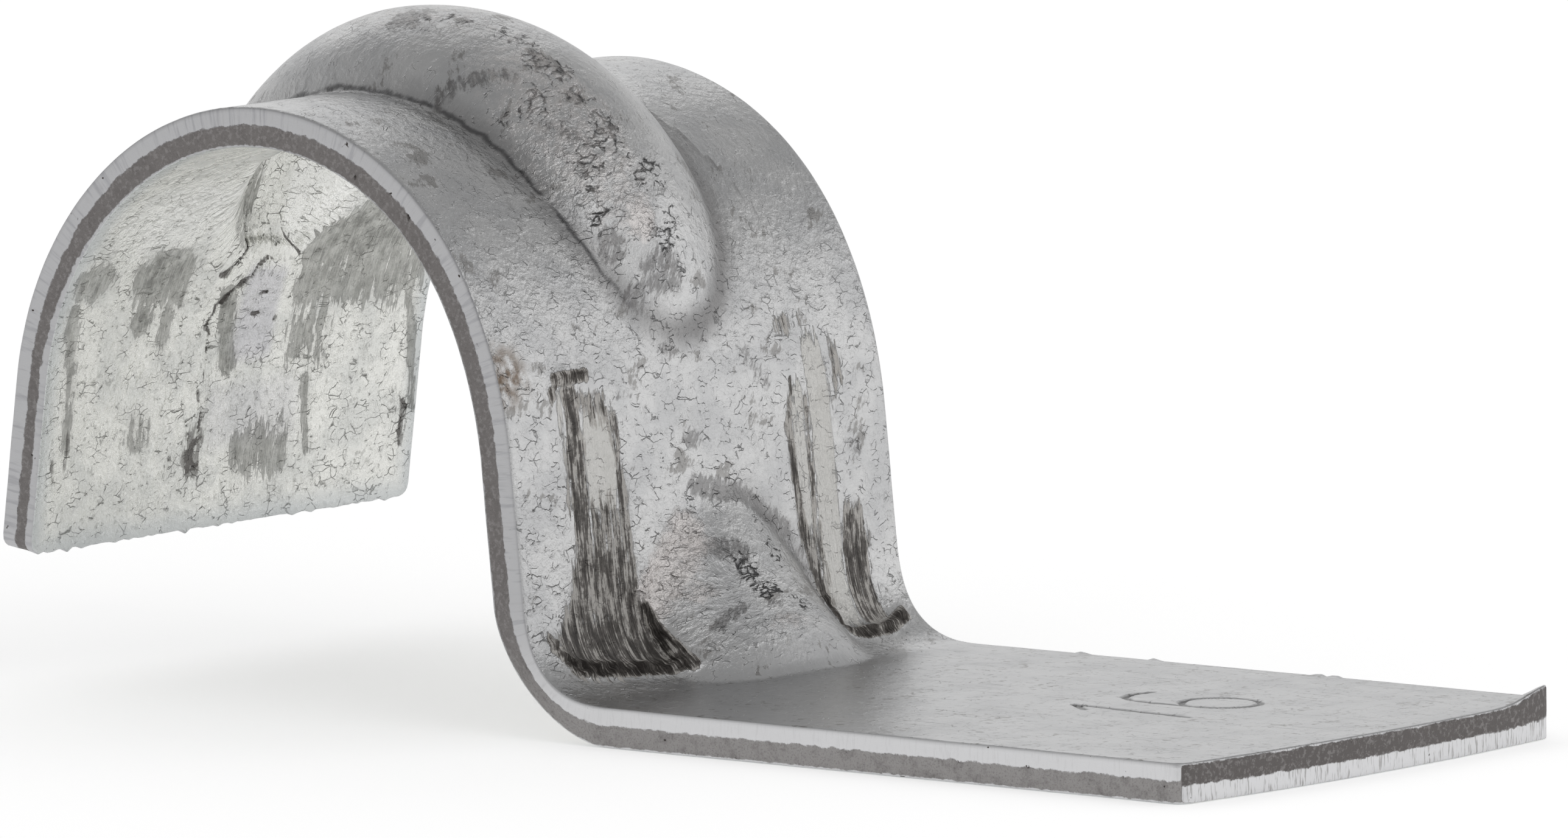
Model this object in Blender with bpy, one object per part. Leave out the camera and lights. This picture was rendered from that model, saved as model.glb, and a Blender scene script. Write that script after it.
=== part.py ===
"""A pipe clip: one strip of galvanised steel sheet, pressed into an arch with a single foot.

The strip starts at the end of the foot, which lies flat on the wall, turns up through a tight
bend into the foot leg, runs over the pipe as a crown and comes down again as a shorter free leg
that stops clear of the wall. Two shapes are pressed into it from the pipe side: a long rounded
bead over the crown, and a short gusset across the bend. Both keep the thin sheet from opening.

Sizes are in metres and angles in degrees. X runs along the foot away from the arch, Y across the
strip and so along the pipe, Z away from the wall. The origin is the middle of the foot's
underside.
"""

from math import ceil, cos, radians, sin, sqrt

import bmesh
import bpy
from mathutils import Vector

# The sheet, and the strip that is cut from it
SHEET = 0.0012
STRIP_WIDTH = 0.0170
CORNER_ROUND = 0.0004
EDGE_ROUND = 0.00012

# The foot: its flat length, and how far the middle of its cut end stands out past the corners
FOOT_FLAT = 0.0217
FOOT_END_BOW = 0.0005

# The bend between foot and leg, measured on the middle of the sheet, which thins as it stretches
BEND_RADIUS = 0.00365
BEND_THINNING = 0.30

# The two straight legs, and how far each leans out from square to the wall
FOOT_LEG = 0.0042
FOOT_LEG_LEAN = 5.6
FREE_LEG = 0.0051
FREE_LEG_LEAN = 8.0

# The arch: inside radii of the crown that sits on the pipe and of the wider shoulders beside it,
# and how far the crown's own radius reaches down each side from the top
PIPE_RADIUS = 0.0080
FOOT_SHOULDER_RADIUS = 0.01165
FREE_SHOULDER_RADIUS = 0.00885
CROWN_REACH_FOOT = 62.0
CROWN_REACH_FREE = 30.3

# The bead: its size outside, where it is highest, how far it runs out towards each leg, how long
# its ridge stays high on each side, how blunt its ends are, and how far before each end its last
# full section lies
BEAD_HEIGHT = 0.00224
BEAD_WIDTH = 0.00732
BEAD_PEAK_FROM_TOP = 0.0013
BEAD_RUN_FOOT = 0.0126
BEAD_RUN_FREE = 0.0087
BEAD_FALL_FOOT = 2.15
BEAD_FALL_FREE = 1.65
BEAD_BLUNTNESS_FOOT = 4.5
BEAD_BLUNTNESS_FREE = 2.5
BEAD_LAST_SECTION = 0.0003

# The gusset: how far it reaches up the leg from the bend, the radius of its nose outside at each
# end, how far it sits off the middle of the strip, how steeply it dives at its ends, and the
# length of foot beside the bend that its end may disturb
GUSSET_UP = 0.0024
GUSSET_NOSE_AT_LEG = 0.0030
GUSSET_NOSE_AT_FOOT = 0.0080
GUSSET_OFFSET = 0.0007
GUSSET_DIVE = 0.4
GUSSET_HEEL = 0.0014

# How softly the pressed shapes run into the flat of the sheet
CREASE_SOFTNESS = 0.00028

# The spacing of the points along the curved strip, along its flat foot and across it
STEP_ALONG = 0.0005
STEP_ALONG_FOOT = 0.0050
STEP_ACROSS = 0.0004


def clear_scene():
    for thing in list(bpy.data.objects):
        bpy.data.objects.remove(thing, do_unlink=True)


def zinc():
    """Hot-dip zinc, a mid grey with a dull metallic sheen."""
    material = bpy.data.materials.new("galvanised_zinc")
    material.use_nodes = True
    shader = material.node_tree.nodes["Principled BSDF"]
    shader.inputs["Base Color"].default_value = (0.46, 0.47, 0.48, 1.0)
    shader.inputs["Metallic"].default_value = 0.9
    shader.inputs["Roughness"].default_value = 0.42
    return material


class Run:
    """A stretch of the strip's middle line, straight or turning at one radius."""

    def __init__(self, name, length, turn=0.0, step=STEP_ALONG):
        self.name = name
        self.length = length
        self.turn = turn
        self.steps = max(1, ceil(length / step))


def arc(name, radius, turn):
    """An arc on the middle line. A positive turn bends the strip round the pipe."""
    return Run(name, radius * radians(abs(turn)), turn)


def strip_runs():
    """The middle line, from the foot's end over the arch to the free end."""
    half = SHEET / 2
    foot_side = 90 - FOOT_LEG_LEAN
    free_side = 90 - FREE_LEG_LEAN
    return [
        Run("foot", FOOT_FLAT - GUSSET_HEEL, step=STEP_ALONG_FOOT),
        Run("heel", GUSSET_HEEL),
        arc("bend", BEND_RADIUS, -foot_side),
        Run("foot_leg", FOOT_LEG),
        arc("foot_shoulder", FOOT_SHOULDER_RADIUS + half, foot_side - CROWN_REACH_FOOT),
        arc("crown_foot_side", PIPE_RADIUS + half, CROWN_REACH_FOOT),
        arc("crown_free_side", PIPE_RADIUS + half, CROWN_REACH_FREE),
        arc("free_shoulder", FREE_SHOULDER_RADIUS + half, free_side - CROWN_REACH_FREE),
        Run("free_leg", FREE_LEG),
    ]


class Station:
    """A place along the strip: its point on the outside face, the way out, the distance walked on
    the middle line, and the share of the sheet's thickness that is left there."""

    def __init__(self, middle, heading, along, share):
        self.normal = Vector((sin(heading), 0.0, -cos(heading)))
        self.point = middle + self.normal * (share * SHEET / 2)
        self.along = along
        self.share = share


def walk(runs):
    """The stations along the runs, and the distance walked at the end of each run."""
    heading = radians(180)
    point = Vector((FOOT_FLAT / 2, 0.0, SHEET / 2))
    along = 0.0
    stations = [Station(point, heading, along, 1.0)]
    ends = {}
    for run in runs:
        turn = radians(run.turn) / run.steps
        arc_step = run.length / run.steps
        chord = arc_step * (sin(turn / 2) / (turn / 2) if turn else 1.0)
        for i in range(run.steps):
            direction = heading + turn / 2
            point += chord * Vector((cos(direction), 0.0, sin(direction)))
            heading += turn
            along += arc_step
            thinned = BEND_THINNING if run.name == "bend" else 0.0
            share = 1.0 - thinned * sin(radians(180) * (i + 1) / run.steps) ** 2
            stations.append(Station(point, heading, along, share))
        ends[run.name] = along
    return stations, ends


def soften(lift):
    """The lift where it is positive and none elsewhere, with a rounded crease between."""
    if lift <= -CREASE_SOFTNESS:
        return 0.0
    if lift >= CREASE_SOFTNESS:
        return lift
    return (lift + CREASE_SOFTNESS) ** 2 / (4 * CREASE_SOFTNESS)


def round_nose(depth, radius, across):
    """How far a round-nosed punch, pressed in by depth, lifts the sheet at a distance across."""
    return depth - radius + sqrt(max(radius * radius - across * across, 0.0))


def bead_lift(along, across, top):
    """The bead is a long lens. It is highest just past the top, and dies out before the legs."""
    past_peak = along - (top + BEAD_PEAK_FROM_TOP)
    run, fall, bluntness = BEAD_RUN_FREE, BEAD_FALL_FREE, BEAD_BLUNTNESS_FREE
    if past_peak < 0:
        run, fall, bluntness = BEAD_RUN_FOOT, BEAD_FALL_FOOT, BEAD_BLUNTNESS_FOOT
    share = abs(past_peak) / run
    depth = BEAD_HEIGHT * (1 - share**fall)
    inside = min(share, 1 - BEAD_LAST_SECTION / run)
    half_width = BEAD_WIDTH / 2 * sqrt(1 - inside**bluntness)
    height = BEAD_HEIGHT * (1 - inside**fall)
    radius = (half_width**2 + height**2) / (2 * height)
    return soften(round_nose(depth, radius, across))


def point_at(stations, along):
    """The outside face's point at a distance along the strip."""
    for before, after in zip(stations, stations[1:]):
        if after.along >= along:
            share = (along - before.along) / (after.along - before.along)
            return before.point.lerp(after.point, share)
    return stations[-1].point.copy()


class Gusset:
    """A round-nosed press across the bend, whose ridge is a straight line from leg to foot."""

    def __init__(self, stations, ends):
        self.start = ends["heel"]
        self.end = ends["bend"] + GUSSET_UP
        self.low = point_at(stations, self.start)
        ridge = (point_at(stations, self.end) - self.low).normalized()
        self.out = Vector((ridge.z, 0.0, -ridge.x))

    def depth(self, station):
        """How far the ridge stands above the outside face, negative beyond its two ends."""
        beyond = max(self.start - station.along, station.along - self.end)
        if beyond > 0:
            return -GUSSET_DIVE * beyond
        return (self.low - station.point).dot(self.out) / station.normal.dot(self.out)

    def nose_radius(self, station):
        """The nose is tapered: tight at the top, on the leg, and broad where it meets the foot."""
        climbed = (station.along - self.start) / (self.end - self.start)
        climbed = min(max(climbed, 0.0), 1.0)
        return GUSSET_NOSE_AT_FOOT + climbed * (GUSSET_NOSE_AT_LEG - GUSSET_NOSE_AT_FOOT)

    def lift(self, station, across):
        nose = round_nose(self.depth(station), self.nose_radius(station), across - GUSSET_OFFSET)
        return soften(nose)


def extrude_across(form, line):
    """Draws the line across the strip's width in even columns."""
    columns = max(8, round(STRIP_WIDTH / STEP_ACROSS))
    front = [form.edges.new(pair) for pair in zip(line, line[1:])]
    bmesh.ops.translate(form, verts=line, vec=(0.0, -STRIP_WIDTH / 2, 0.0))
    for _ in range(columns):
        made = bmesh.ops.extrude_edge_only(form, edges=front)["geom"]
        moved = {item for item in made if isinstance(item, bmesh.types.BMVert)}
        edges = [item for item in made if isinstance(item, bmesh.types.BMEdge)]
        front = [edge for edge in edges if moved.issuperset(edge.verts)]
        bmesh.ops.translate(form, verts=list(moved), vec=(0.0, STRIP_WIDTH / columns, 0.0))


def strip_sheet(name, stations, ends):
    """The strip's outside face with its pressed shapes, and the share of thickness under it."""
    form = bmesh.new()
    station_layer = form.verts.layers.int.new("station")
    share_layer = form.verts.layers.deform.verify()
    line = []
    for index, station in enumerate(stations):
        vert = form.verts.new(station.point)
        vert[station_layer] = index
        line.append(vert)
    extrude_across(form, line)

    top = ends["crown_foot_side"]
    gusset = Gusset(stations, ends)
    for vert in form.verts:
        station = stations[vert[station_layer]]
        across = vert.co.y
        lift = bead_lift(station.along, across, top) + gusset.lift(station, across)
        vert.co += station.normal * lift
        vert[share_layer][0] = station.share
        if station is stations[0]:
            vert.co.x -= FOOT_END_BOW * (across / (STRIP_WIDTH / 2)) ** 2
    round_corners(form)
    bmesh.ops.recalc_face_normals(form, faces=form.faces)
    mesh = bpy.data.meshes.new(name)
    form.to_mesh(mesh)
    form.free()
    return mesh


def round_corners(form):
    """Takes the points off the strip's four corners."""
    corners = [vert for vert in form.verts if len(vert.link_edges) == 2]
    bmesh.ops.bevel(
        form,
        geom=corners,
        offset=CORNER_ROUND,
        segments=2,
        profile=0.5,
        affect="VERTICES",
    )


def pipe_clip():
    stations, ends = walk(strip_runs())
    clip = bpy.data.objects.new("pipe_clip", strip_sheet("pipe_clip", stations, ends))
    bpy.context.scene.collection.objects.link(clip)
    clip.vertex_groups.new(name="sheet_share")
    clip.data.materials.append(zinc())

    wall = clip.modifiers.new("sheet", "SOLIDIFY")
    wall.thickness = SHEET
    wall.offset = -1.0
    wall.use_even_offset = True
    wall.use_quality_normals = True
    wall.vertex_group = "sheet_share"

    edges = clip.modifiers.new("sheared_edges", "BEVEL")
    edges.width = EDGE_ROUND
    edges.segments = 1
    edges.limit_method = "ANGLE"
    edges.angle_limit = radians(60)

    clip.data.shade_smooth()
    clip.data.set_sharp_from_angle(angle=radians(35))
    return clip


clear_scene()
pipe_clip()
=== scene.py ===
# %% [markdown]
# # A galvanised pipe clip
#
# This lesson dresses one small part: a pipe clip pressed from a strip of galvanised steel. The
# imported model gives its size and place. Here the same strip is made again with a much finer mesh,
# so that the pressed bead, the torn scrapes, the burrs and the stamped figures are real shape, and
# then it gets its zinc.
#
# All sizes are in metres unless a name ends in `_MM`. X runs along the foot away from the arch,
# Y runs across the strip and along the pipe, and Z runs away from the wall.

# %% Load the frame
from math import ceil, cos, hypot, pi, radians, sin, sqrt

import bmesh
import bpy
from mathutils import Matrix, Vector, noise


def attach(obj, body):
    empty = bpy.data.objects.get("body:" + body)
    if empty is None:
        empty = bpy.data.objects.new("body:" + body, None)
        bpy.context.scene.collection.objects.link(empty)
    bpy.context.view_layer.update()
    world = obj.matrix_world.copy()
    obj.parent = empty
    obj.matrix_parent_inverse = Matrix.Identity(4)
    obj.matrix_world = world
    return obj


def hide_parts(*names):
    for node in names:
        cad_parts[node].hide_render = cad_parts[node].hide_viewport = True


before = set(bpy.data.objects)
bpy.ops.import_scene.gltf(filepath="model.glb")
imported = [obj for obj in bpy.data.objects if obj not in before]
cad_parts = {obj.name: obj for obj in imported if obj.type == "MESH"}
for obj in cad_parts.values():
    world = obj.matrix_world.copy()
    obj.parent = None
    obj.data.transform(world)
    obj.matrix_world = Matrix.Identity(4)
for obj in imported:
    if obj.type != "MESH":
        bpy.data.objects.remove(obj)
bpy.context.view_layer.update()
MM = 0.001

# %% [markdown]
# ## The camera
#
# The photograph was taken with a long lens from the front right, nearly level with the clip. The
# camera is placed by four plain facts: the point it looks at, how far away it is, how far round
# and how far up. A small roll levels the picture as the photographer held it.

# %% Place the camera
LOOK_AT = Vector((-0.011115, 0.0, 0.008662))
CAMERA_DISTANCE = 0.61805
CAMERA_ROUND = radians(39.871)
CAMERA_UP = radians(6.864)
CAMERA_ROLL = radians(0.789)
LENS_MM = 489.55


def camera_side():
    """The direction from the clip to the camera."""
    level = cos(CAMERA_UP)
    return Vector((sin(CAMERA_ROUND) * level, -cos(CAMERA_ROUND) * level, sin(CAMERA_UP)))


def add(name, data):
    """Puts a new object into the scene, at the origin."""
    ob = bpy.data.objects.new(name, data)
    bpy.context.scene.collection.objects.link(ob)
    return ob


def place_camera():
    back = camera_side()
    level_right = (-back).cross(Vector((0, 0, 1))).normalized()
    level_down = (-back).cross(level_right)
    right = level_right * cos(CAMERA_ROLL) + level_down * sin(CAMERA_ROLL)
    down = level_down * cos(CAMERA_ROLL) - level_right * sin(CAMERA_ROLL)
    camera = add("camera", bpy.data.cameras.new("camera"))
    camera.matrix_world = (
        Matrix.Translation(LOOK_AT + back * CAMERA_DISTANCE)
        @ Matrix((right, -down, back)).transposed().to_4x4()
    )
    camera.data.lens = LENS_MM
    bpy.context.scene.camera = camera
    return camera


camera = place_camera()
print("camera at", [round(value, 4) for value in camera.location])

# %% [markdown]
# ## Node arithmetic
#
# The finishes are node networks, and most of a network is arithmetic. A small class stands for
# "what this node gives", and knows how to be added, taken away, multiplied and divided, so a mask
# can be written as `patches * 0.5 + 0.1`, and each sign quietly becomes a Math node.

# %% Node arithmetic
class Value:
    def __init__(self, socket):
        self.socket = socket
        self.tree = socket.id_data

    def __add__(self, other):
        return sums("ADD", self, other)

    def __sub__(self, other):
        return sums("SUBTRACT", self, other)

    def __rsub__(self, other):
        return sums("SUBTRACT", other, self, tree=self.tree)

    def __mul__(self, other):
        return sums("MULTIPLY", self, other)

    def __truediv__(self, other):
        return sums("DIVIDE", self, other)

    def __abs__(self):
        return sums("ABSOLUTE", self)


def fill(made, inputs):
    """Sets a node's sockets to numbers and colours, or links them to values."""
    for name, value in inputs.items():
        socket = made.inputs[name]
        if isinstance(value, Value):
            value.tree.links.new(value.socket, socket)
        else:
            socket.default_value = value


def node(tree, kind, inputs=None, **settings):
    made = tree.nodes.new("ShaderNode" + kind)
    for name, value in settings.items():
        setattr(made, name, value)
    fill(made, inputs or {})
    return made


def out(tree, kind, output, inputs=None, **settings):
    """A new node's output, by its name or its number."""
    return Value(node(tree, kind, inputs, **settings).outputs[output])


def sums(operation, *values, tree=None):
    return out(tree or values[0].tree, "Math", 0, dict(enumerate(values)), operation=operation)


def most(one, other):
    return sums("MAXIMUM", one, other)


print("values can be added, taken away, multiplied and divided")

# %% [markdown]
# On top of that come the few building blocks that all the finishes use: a smooth step, noise, one
# colour laid over another, and a node group made and used by the names of its sockets.

# %% Building blocks
def step_up(value, low, high, start=0.0, end=1.0):
    """Smoothly from the start below low to the end above high."""
    reach = {"Value": value, "From Min": low, "From Max": high, "To Min": start, "To Max": end}
    return out(value.tree, "MapRange", "Result", reach, interpolation_type="SMOOTHSTEP")


def step_down(value, low, high):
    return step_up(value, low, high, 1.0, 0.0)


def scaled(vector, by):
    return out(vector.tree, "VectorMath", "Vector", {0: vector, 1: by}, operation="MULTIPLY")


def stretched(vector, along, across):
    """The strip's millimetres, divided by a cell's length along and across the strip."""
    return scaled(vector, (1 / along, 1 / across, 1.0))


def noise_at(vector, scale, detail, roughness=0.5, output="Fac", **settings):
    inputs = {"Vector": vector, "Scale": scale, "Detail": detail, "Roughness": roughness}
    return out(vector.tree, "TexNoise", output, inputs, **settings)


def tint(factor, under, over):
    inputs = {0: factor, 6: under, 7: over}
    return out(factor.tree, "Mix", 2, inputs, data_type="RGBA", blend_type="MIX")


def coats(under, *layers):
    """Lays one colour over another, from the bottom up, each by its own mask."""
    for mask, colour in layers:
        under = tint(mask, under, colour)
    return under


def new_group(name, inputs, outputs):
    """A node group, what comes into it by name, and the node that its results go to."""
    tree = bpy.data.node_groups.new(name, "ShaderNodeTree")
    for in_out, sockets in (("INPUT", inputs), ("OUTPUT", outputs)):
        for socket, kind in sockets.items():
            tree.interface.new_socket(socket, in_out=in_out, socket_type="NodeSocket" + kind)
    given = tree.nodes.new("NodeGroupInput").outputs
    return {name: Value(given[name]) for name in inputs}, tree.nodes.new("NodeGroupOutput")


def use_group(group, **inputs):
    made = inputs["Vector"].tree.nodes.new("ShaderNodeGroup")
    made.node_tree = group
    fill(made, inputs)
    return {socket.name: Value(socket) for socket in made.outputs}


print("building blocks ready")

# %% [markdown]
# ## The studio
#
# Bare metal shows the room more than itself, so the room matters as much as the material. The
# floor and the sky are pale, one broad lamp stands to the right of the camera where the outside of
# the leg and the inside of the arch can see it, and two broader ones stand behind, left and right.
# Above, the sky falls off to grey, which is what the top of the crown reflects.

# %% Build the studio
FLOOR_SIZE = 4.0
WHITE = (1.0, 1.0, 1.0, 1.0)
FLOOR_COLOUR = (0.93, 0.93, 0.93, 1.0)
FLOOR_LIFT = 0.34
SKY_TOP = 0.5
SKY_TOP_FADES = (0.05, 0.85)
SKY_AT_CAMERA = 0.5
SKY_AT_CAMERA_FADES = (0.45, 0.95)
SKY_ON_DULL = 0.78
LAMPS = [
    ("key_right", 0.30, 0.30, (0.42, -0.10, 0.30)),
    ("fill_behind", 0.40, 0.25, (-0.40, 0.35, 0.35)),
    ("wall_right", 0.50, 0.35, (0.45, 0.52, 0.14)),
]


def lamp(name, size, power, place):
    data = bpy.data.lights.new(name, "AREA")
    data.shape = "SQUARE"
    data.size = size
    data.energy = power
    ob = add(name, data)
    ob.location = place
    ob.rotation_euler = (LOOK_AT - Vector(place)).to_track_quat("-Z", "Y").to_euler()


def rays(tree):
    """One for rays from the camera, and one for rays that metal or glass sends on."""
    path = node(tree, "LightPath").outputs
    kinds = ("Is Camera Ray", "Is Glossy Ray", "Is Transmission Ray")
    seen, glossy, through = (Value(path[kind]) for kind in kinds)
    return seen, most(glossy, through)


def as_mesh(name, form):
    mesh = bpy.data.meshes.new(name)
    form.to_mesh(mesh)
    form.free()
    return mesh


def pale_floor():
    form = bmesh.new()
    bmesh.ops.create_grid(form, x_segments=1, y_segments=1, size=FLOOR_SIZE / 2)
    floor = add("floor", as_mesh("floor", form))
    material = bpy.data.materials.new("pale_floor")
    material.use_nodes = True
    seen, mirrored = rays(material.node_tree)
    sockets = {
        "Base Color": FLOOR_COLOUR,
        "Roughness": 0.9,
        "Specular IOR Level": 0.0,
        "Emission Color": WHITE,
        "Emission Strength": most(seen, mirrored) * FLOOR_LIFT,
    }
    fill(material.node_tree.nodes["Principled BSDF"], sockets)
    floor.data.materials.append(material)


def sky():
    """White to the camera. Metal sees a sky that darkens overhead and where the camera stands."""
    world = bpy.data.worlds.new("studio")
    bpy.context.scene.world = world
    world.use_nodes = True
    tree = world.node_tree
    tree.nodes.clear()
    where = out(tree, "TexCoord", "Generated")
    up = out(tree, "SeparateXYZ", "Z", {0: where})
    camera_way = {0: where, 1: camera_side()}
    towards = out(tree, "VectorMath", "Value", camera_way, operation="DOT_PRODUCT")
    shown = step_up(up, *SKY_TOP_FADES, 1.0, SKY_TOP)
    shown *= step_up(towards, *SKY_AT_CAMERA_FADES, 1.0, SKY_AT_CAMERA)
    seen, mirrored = rays(tree)
    shown = out(tree, "Mix", 0, {"Factor": mirrored, "A": SKY_ON_DULL, "B": shown})
    shown = out(tree, "Mix", 0, {"Factor": seen, "A": shown, "B": 1.0})
    node(tree, "OutputWorld", {"Surface": out(tree, "Background", 0, {"Strength": shown})})


pale_floor()
sky()
for name, size, power, place in LAMPS:
    lamp(name, size, power, place)
bpy.context.scene.view_settings.view_transform = "Standard"
print("studio: floor", FLOOR_SIZE, "m across,", len(LAMPS), "lamps, soft sky")

# %% [markdown]
# ## The strip's line
#
# Seen from the side, the clip is one line of straights and arcs: foot, tight bend, foot leg, wide
# shoulder, crown, second shoulder, free leg. A list of runs is the easiest way to say that, because
# each run starts where the last one ended and in the same direction, so the line can't kink.
# The sizes are the solid's own.

# %% Say what the strip is
SHEET = 0.0012
STRIP_WIDTH = 0.0170
CORNER_ROUND = 0.0004
FOOT_FLAT = 0.0217
FOOT_END_BOW = 0.0005
BEND_RADIUS = 0.00365
BEND_THINNING = 0.30
FOOT_LEG = 0.0042
FOOT_LEG_LEAN = 5.6
FREE_LEG = 0.0051
FREE_LEG_LEAN = 8.0
PIPE_RADIUS = 0.0080
FOOT_SHOULDER_RADIUS = 0.01165
FREE_SHOULDER_RADIUS = 0.00885
CROWN_REACH_FOOT = 62.0
CROWN_REACH_FREE = 30.3


def arc(name, radius, turn):
    """A run along an arc on the middle of the sheet. A positive turn bends it round the pipe."""
    return name, radius * radians(abs(turn)), turn


def strip_runs():
    half = SHEET / 2
    foot_side = 90 - FOOT_LEG_LEAN
    free_side = 90 - FREE_LEG_LEAN
    return [
        ("foot", FOOT_FLAT, 0.0),
        arc("bend", BEND_RADIUS, -foot_side),
        ("foot_leg", FOOT_LEG, 0.0),
        arc("foot_shoulder", FOOT_SHOULDER_RADIUS + half, foot_side - CROWN_REACH_FOOT),
        arc("crown_foot_side", PIPE_RADIUS + half, CROWN_REACH_FOOT),
        arc("crown_free_side", PIPE_RADIUS + half, CROWN_REACH_FREE),
        arc("free_shoulder", FREE_SHOULDER_RADIUS + half, free_side - CROWN_REACH_FREE),
        ("free_leg", FREE_LEG, 0.0),
    ]


RUNS = strip_runs()
STRIP_LENGTH = sum(length for _, length, _ in RUNS)
ENDS = {}
walked = 0.0
for run_name, run_length, _ in RUNS:
    walked += run_length
    ENDS[run_name] = walked
print("strip cut to", round(STRIP_LENGTH / MM, 2), "mm")

# %% [markdown]
# Any point of the strip can now be asked for by its distance along the middle of the sheet. The
# answer is a place on the outside face, the direction that is out, and how much of the sheet's
# thickness is left there, because the steel stretches and thins in the tight bend.

# %% Walk the strip
class Place:
    def __init__(self, middle, heading, share):
        self.normal = Vector((sin(heading), 0.0, -cos(heading)))
        self.point = middle + self.normal * (share * SHEET / 2)
        self.share = share


def place_along(along):
    """The place that far along the strip. Past its end, the free leg simply goes on."""
    heading = pi
    start = Vector((FOOT_FLAT / 2, 0.0, SHEET / 2))
    left = along
    for name, length, turn in RUNS:
        step = min(left, length) if name != RUNS[-1][0] else left
        turned = radians(turn) * step / length
        chord = step * (sin(turned / 2) / (turned / 2) if turned else 1.0)
        start = start + chord * Vector((cos(heading + turned / 2), 0.0, sin(heading + turned / 2)))
        heading += turned
        left -= step
        if left <= 0:
            thinned = BEND_THINNING if name == "bend" else 0.0
            return Place(start, heading, 1.0 - thinned * sin(pi * step / length) ** 2)


print("free end at", [round(v / MM, 2) for v in place_along(STRIP_LENGTH).point], "mm")

# %% [markdown]
# ## The blank
#
# The real clip starts as a flat blank sheared from galvanised strip, and so does this one: a grid
# with a vertex every fifth of a millimetre. Its corners are knocked off, its foot end is bowed as
# the shear left it, and the places that will carry stamped figures, scrapes or cracks are cut
# finer, since a groove can't be narrower than the mesh it is pressed into.

# %% Shear the blank
GRID_STEP = 0.00021
FINER_PLACES = {
    "figures": (FOOT_FLAT / 2 - 0.0052, FOOT_FLAT / 2 + 0.0010, -0.0013, 0.0038, 2),
    "near_scrape": (0.0208, 0.0306, -0.0072, -0.0026, 1),
    "far_scrape": (0.0208, 0.0306, 0.0034, 0.0084, 1),
    "cracks": (STRIP_LENGTH - 0.0096, STRIP_LENGTH - 0.0059, -0.0020, 0.0022, 2),
}


def blank():
    """The flat strip. X is the distance along it from the foot's end, Y is across it."""
    form = bmesh.new()
    columns = ceil(STRIP_LENGTH / GRID_STEP)
    rows = ceil(STRIP_WIDTH / GRID_STEP)
    bmesh.ops.create_grid(form, x_segments=columns, y_segments=rows, size=0.5)
    bmesh.ops.translate(form, verts=form.verts, vec=(0.5, 0.0, 0.0))
    bmesh.ops.scale(form, verts=form.verts, vec=(STRIP_LENGTH, STRIP_WIDTH, 1.0))
    return form


def cut_finer(form, low_x, high_x, low_y, high_y, cuts):
    """Splits every edge whose middle lies in a rectangle of the blank."""
    edges = []
    for edge in form.edges:
        middle = (edge.verts[0].co + edge.verts[1].co) / 2
        if low_x < middle.x < high_x and low_y < middle.y < high_y:
            edges.append(edge)
    bmesh.ops.subdivide_edges(form, edges=edges, cuts=cuts, use_grid_fill=True)


def trim_ends(form):
    """Rounds the four corners and bows the foot's end, by moving the last few rows of vertices."""
    half = STRIP_WIDTH / 2
    for vert in form.verts:
        x, y = vert.co.x, vert.co.y
        in_x = min(x, STRIP_LENGTH - x)
        in_y = half - abs(y)
        if in_x < CORNER_ROUND and in_y < CORNER_ROUND:
            away = Vector((CORNER_ROUND - in_x, CORNER_ROUND - in_y))
            away *= max(away.x, away.y) / away.length if away.length else 1.0
            vert.co.x = CORNER_ROUND - away.x
            if x > STRIP_LENGTH / 2:
                vert.co.x = STRIP_LENGTH - vert.co.x
            vert.co.y = (half - CORNER_ROUND + away.y) * (1 if y > 0 else -1)
        nearness = max(0.0, 1 - x / FOOT_FLAT)
        vert.co.x += FOOT_END_BOW * (y / half) ** 2 * nearness**4


form = blank()
for rectangle in FINER_PLACES.values():
    cut_finer(form, *rectangle)
trim_ends(form)
print("blank has", len(form.verts), "vertices")

# %% [markdown]
# ## The pressed shapes
#
# A long bead is pressed over the crown and a short gusset across the bend, both from the pipe
# side, to stiffen thin sheet. Each is the cap of a round-nosed punch: where the cap stands above
# the face it lifts the metal, and a soft crease joins the two. A formula is better than
# sculpting here, because the bead's ridge, its width and its two different ends stay named sizes.

# %% Press the bead
BEAD_HEIGHT = 0.00224
BEAD_WIDTH = 0.00732
BEAD_PEAK_FROM_TOP = 0.0013
BEAD_RUN_FOOT = 0.0126
BEAD_RUN_FREE = 0.0087
BEAD_FALL_FOOT = 2.15
BEAD_FALL_FREE = 1.65
BEAD_BLUNTNESS_FOOT = 4.5
BEAD_BLUNTNESS_FREE = 2.5
BEAD_LAST_SECTION = 0.0003
CREASE_SOFTNESS = 0.00028


def soften(lift):
    if lift <= -CREASE_SOFTNESS:
        return 0.0
    if lift >= CREASE_SOFTNESS:
        return lift
    return (lift + CREASE_SOFTNESS) ** 2 / (4 * CREASE_SOFTNESS)


def round_nose(depth, radius, across):
    return depth - radius + sqrt(max(radius * radius - across * across, 0.0))


def bead_nose(along, across):
    past_peak = along - (ENDS["crown_foot_side"] + BEAD_PEAK_FROM_TOP)
    run, fall, bluntness = BEAD_RUN_FREE, BEAD_FALL_FREE, BEAD_BLUNTNESS_FREE
    if past_peak < 0:
        run, fall, bluntness = BEAD_RUN_FOOT, BEAD_FALL_FOOT, BEAD_BLUNTNESS_FOOT
    share = abs(past_peak) / run
    depth = BEAD_HEIGHT * (1 - share**fall)
    inside = min(share, 1 - BEAD_LAST_SECTION / run)
    half_width = BEAD_WIDTH / 2 * sqrt(1 - inside**bluntness)
    height = BEAD_HEIGHT * (1 - inside**fall)
    radius = (half_width**2 + height**2) / (2 * height)
    return round_nose(depth, radius, across)


print("bead stands", round(BEAD_HEIGHT / MM, 2), "mm above the crown")

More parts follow.
